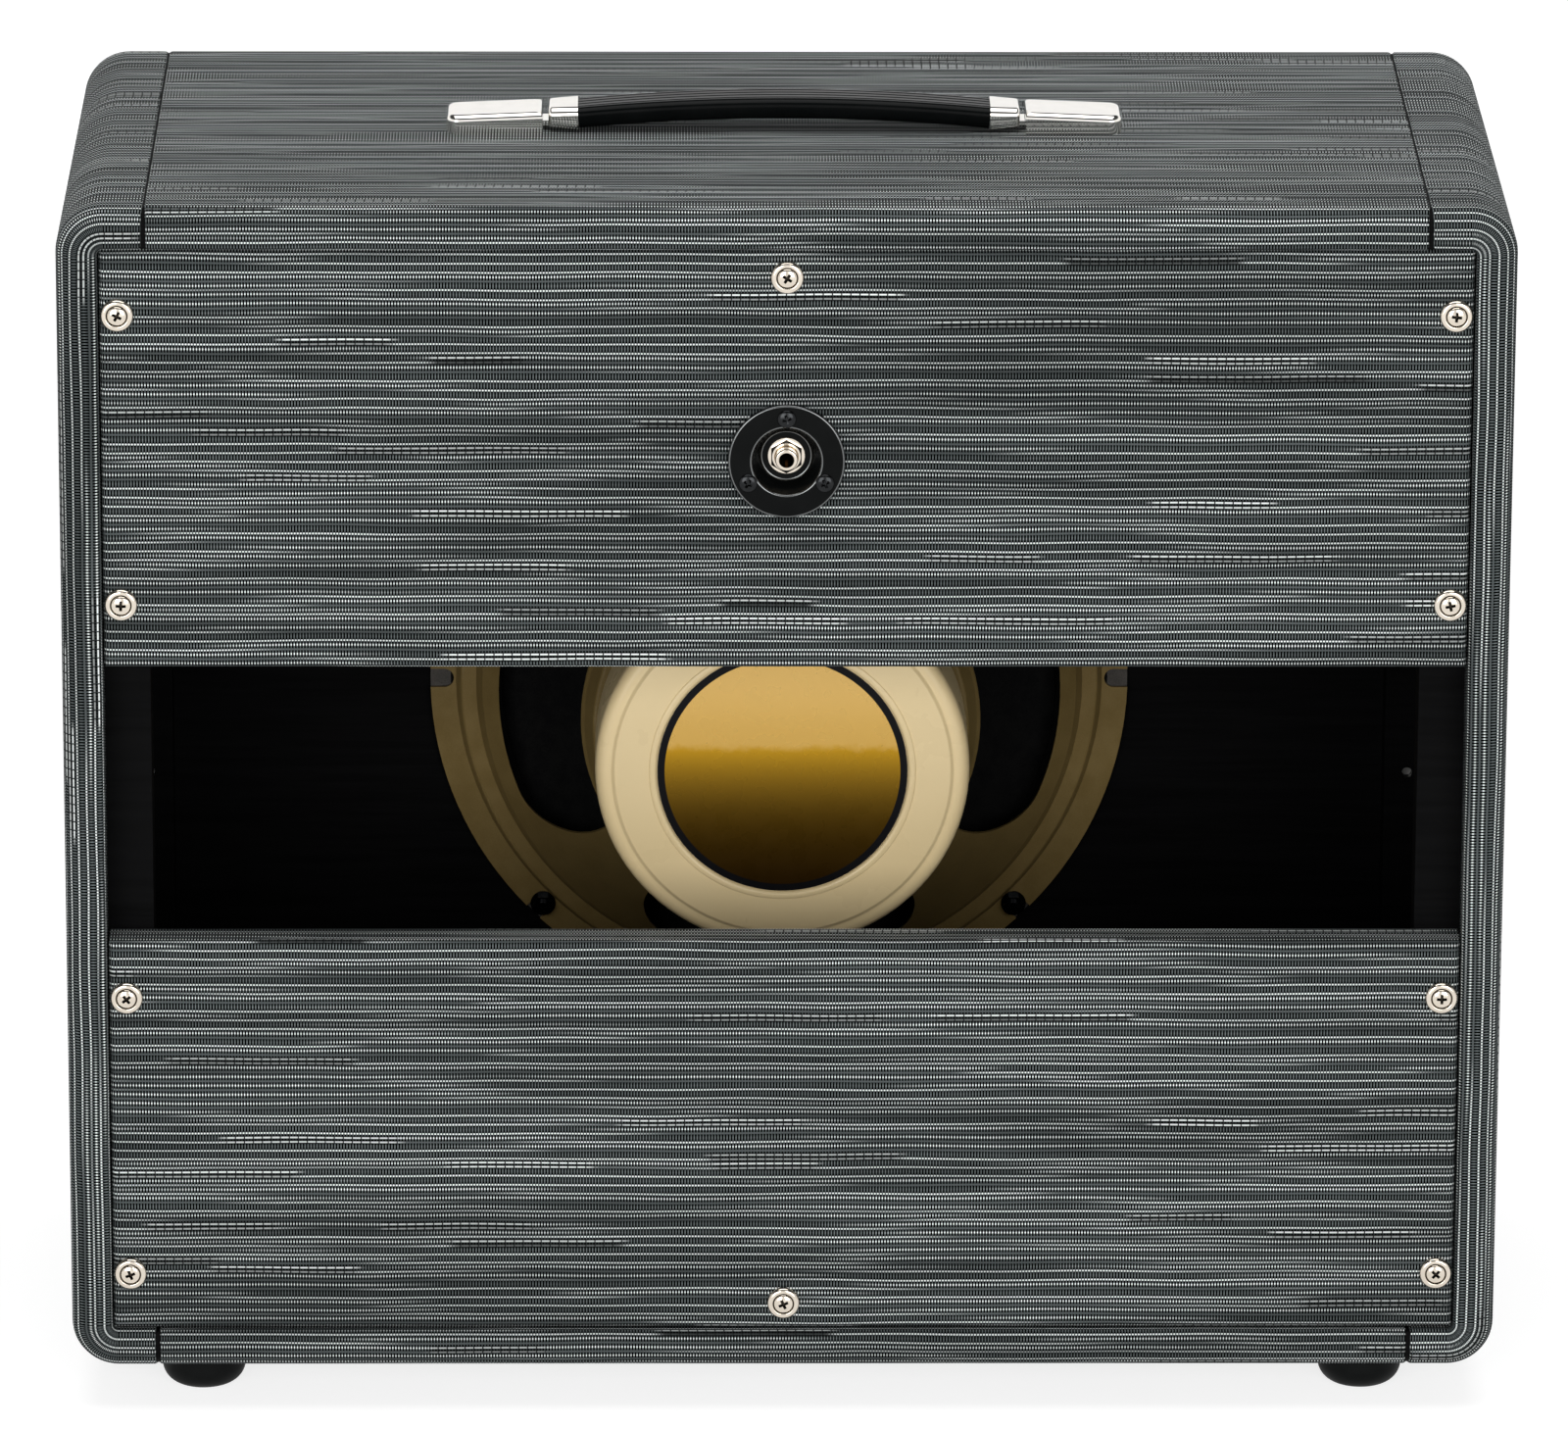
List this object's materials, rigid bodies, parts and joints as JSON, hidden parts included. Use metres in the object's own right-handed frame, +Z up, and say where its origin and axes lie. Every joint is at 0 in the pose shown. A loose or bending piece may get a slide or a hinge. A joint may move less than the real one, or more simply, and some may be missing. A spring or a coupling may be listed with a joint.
{
  "type": "guitar speaker cabinet",
  "caption": "Open-back guitar loudspeaker cabinet in woven-look covering, with a strap handle, a recessed jack and rubber feet; it turns an amplifier's signal into sound.",
  "frame": {"origin": "on the floor under the middle of the cabinet", "axes": "+Z up, +Y out of the open back with the jack, -Y out of the grille, +X to the left of someone who looks at the back"},
  "size_m": [0.61, 0.28, 0.5487],
  "materials": {
    "covering_vinyl": "woven-look vinyl, satin",
    "black_wood": "plywood painted black",
    "plywood": "bare plywood",
    "grille_cloth": "open woven cloth, matt",
    "basket_paint": "khaki paint, satin",
    "gasket_paper": "pressed paper, matt",
    "cone_paper": "paper pulp, matt",
    "spider_cloth": "resin-dipped cloth",
    "former_film": "amber film",
    "copper": "enamelled wire",
    "steel": "zinc plated",
    "ferrite": "sintered, matt",
    "cover_cream": "moulded, satin",
    "label_gold": "plain printed foil",
    "phenolic": "laminated board",
    "lead_black": "round two-core lead",
    "dish_black": "moulded, satin",
    "nickel": "nickel plated",
    "black_steel": "black oxide",
    "foot_rubber": "moulded, matt",
    "chrome": "polished chrome",
    "grip_black": "moulded, satin"
  },
  "bodies": {
    "cabinet": {"side_panel_left": "black_wood", "side_panel_right": "black_wood", "top_panel": "black_wood", "bottom_panel": "black_wood", "upper_back_panel": "black_wood", "lower_back_panel": "black_wood", "side_cleat_left": "black_wood", "side_cleat_right": "black_wood", "top_cleat": "black_wood", "bottom_cleat": "black_wood", "baffle": "black_wood", "baffle_batten_left": "black_wood", "baffle_batten_right": "black_wood", "covering_left": "covering_vinyl", "covering_right": "covering_vinyl", "covering_top": "covering_vinyl", "covering_bottom": "covering_vinyl", "upper_back_covering": "covering_vinyl", "lower_back_covering": "covering_vinyl", "grille_frame": "plywood", "grille_cloth": "grille_cloth", "grille_pads": "gasket_paper", "basket": "basket_paint", "mounting_gasket": "gasket_paper", "surround": "cone_paper", "spider": "spider_cloth", "tinsel_leads": "copper", "front_plate": "steel", "pole_piece": "steel", "baffle_screws": "steel", "foot_screws": "steel", "handle_bolts": "steel", "magnet_ring": "ferrite", "magnet_cover": "cover_cream", "label_disc": "label_gold", "terminal_strip": "phenolic", "jack_insulator": "phenolic", "speaker_lead": "lead_black", "jack_dish": "dish_black", "jack_bushing": "nickel", "jack_nut": "nickel", "back_panel_screws": "nickel", "cup_washers": "nickel", "speaker_bolts": "black_steel", "speaker_nuts": "black_steel", "jack_dish_screws": "black_steel", "foot_rear_left": "foot_rubber", "foot_rear_right": "foot_rubber", "foot_front_left": "foot_rubber", "foot_front_right": "foot_rubber", "handle_cap_left": "chrome", "handle_cap_right": "chrome"},
    "cone_assembly": {"cone": "cone_paper", "dust_cap": "cone_paper", "coil_former": "former_film", "voice_coil": "copper"},
    "handle_strap": {"handle_grip": "grip_black"},
    "handle_left_end": {"handle_end_left": "chrome"},
    "handle_right_end": {"handle_end_right": "chrome"},
    "jack_tip_contact": {"jack_tip_spring": "copper"}
  },
  "joints": [
    {"name": "cone_travel", "type": "slide", "parent": "cabinet", "child": "cone_assembly", "axis": [0, 1, 0], "range_m": [-0.003, 0.003], "stiffness_N_per_m": 7300, "deforming": ["surround", "spider", "tinsel_leads"]},
    {"name": "handle_lift", "type": "slide", "parent": "cabinet", "child": "handle_strap", "axis": [0, 0, 1], "range_m": [0, 0.02], "stiffness_N_per_m": 1200, "deforming": ["handle_grip"]},
    {"name": "handle_left_draw", "type": "slide", "parent": "handle_strap", "child": "handle_left_end", "axis": [-0.2195, 0, -0.9756], "range_m": [0, 0.0206]},
    {"name": "handle_right_draw", "type": "slide", "parent": "handle_strap", "child": "handle_right_end", "axis": [0.2195, 0, -0.9756], "range_m": [0, 0.0206]},
    {"name": "jack_tip_flex", "type": "hinge", "parent": "cabinet", "child": "jack_tip_contact", "pos_m": [0, 0.1118, 0.4334], "axis": [-1, 0, 0], "range_deg": [0, 6], "stiffness_Nm_per_rad": 0.4}
  ],
  "couplings": [
    {"joint": "handle_left_draw", "follows": "handle_lift", "ratio": 1.025},
    {"joint": "handle_right_draw", "follows": "handle_lift", "ratio": 1.025}
  ]
}
